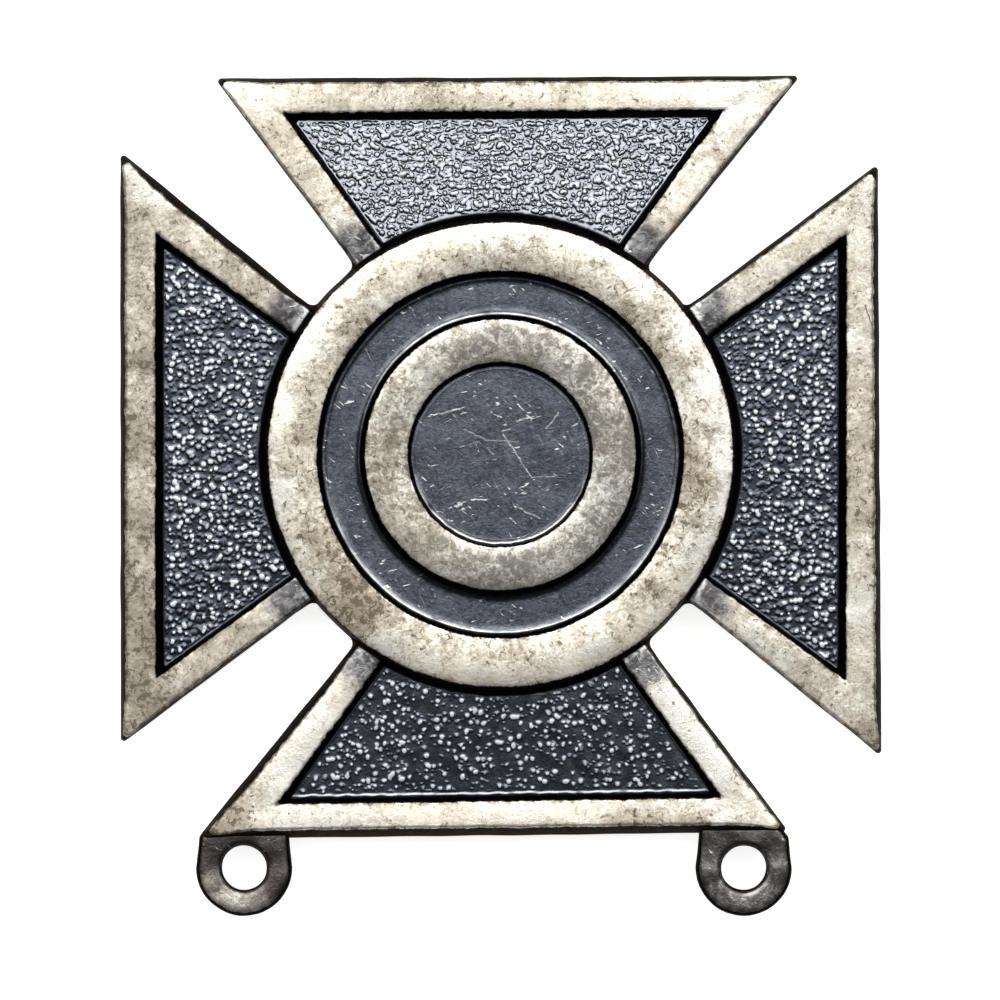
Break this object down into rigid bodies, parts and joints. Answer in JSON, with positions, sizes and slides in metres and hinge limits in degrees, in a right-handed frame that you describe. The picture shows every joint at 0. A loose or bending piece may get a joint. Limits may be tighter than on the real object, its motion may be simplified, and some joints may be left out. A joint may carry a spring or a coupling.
{
  "type": "shooting proficiency pin",
  "caption": "Struck cross badge with flaring framed arms, a stepped round target, hanging loops and a brooch pin on the back.",
  "frame": {"origin": "under the middle of the bounding box, on the surface that the feet of the brooch pin rest on", "axes": "+Y towards the top arm, away from the two hanging loops; +Z out of the badge's face; +X to the right seen from the front"},
  "size_m": [0.035, 0.0388, 0.0046],
  "materials": {
    "antiqued_silver": "oxidised, with the raised frames and rings rubbed back to worn, stained silver",
    "nickelled_steel": "dull nickel plate"
  },
  "bodies": {
    "root": {"struck_cross": "antiqued_silver", "pin_back": "nickelled_steel"}
  },
  "joints": []
}
